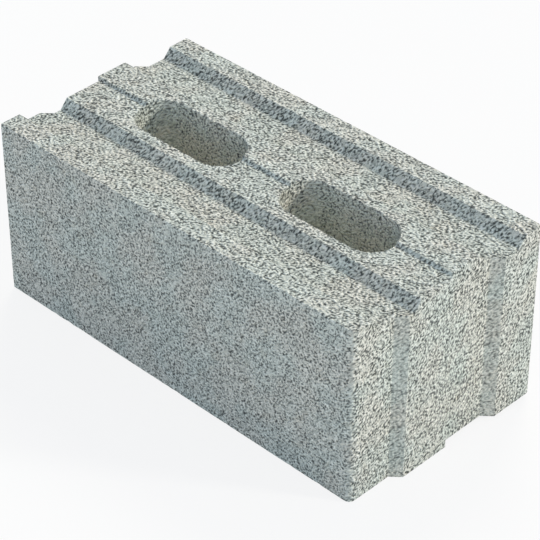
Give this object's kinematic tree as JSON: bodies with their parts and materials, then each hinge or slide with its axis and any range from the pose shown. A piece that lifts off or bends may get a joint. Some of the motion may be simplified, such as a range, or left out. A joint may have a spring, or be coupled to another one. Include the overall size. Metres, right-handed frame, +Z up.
{
  "type": "concrete block",
  "caption": "Interlocking concrete wall block with a stepped crown and bed, grooves along its crown, oval through cores and stepped ends that nest with the next block.",
  "frame": {"origin": "middle of the block's box, on the floor that the bed rests on", "axes": "+X along the block's length, +Y from the front face to the back face, +Z up"},
  "size_m": [0.5184, 0.251, 0.2155],
  "materials": {
    "concrete": "rough open-grained cast concrete, pale grey with dark pits"
  },
  "bodies": {
    "root": {"block": "concrete"}
  },
  "joints": []
}
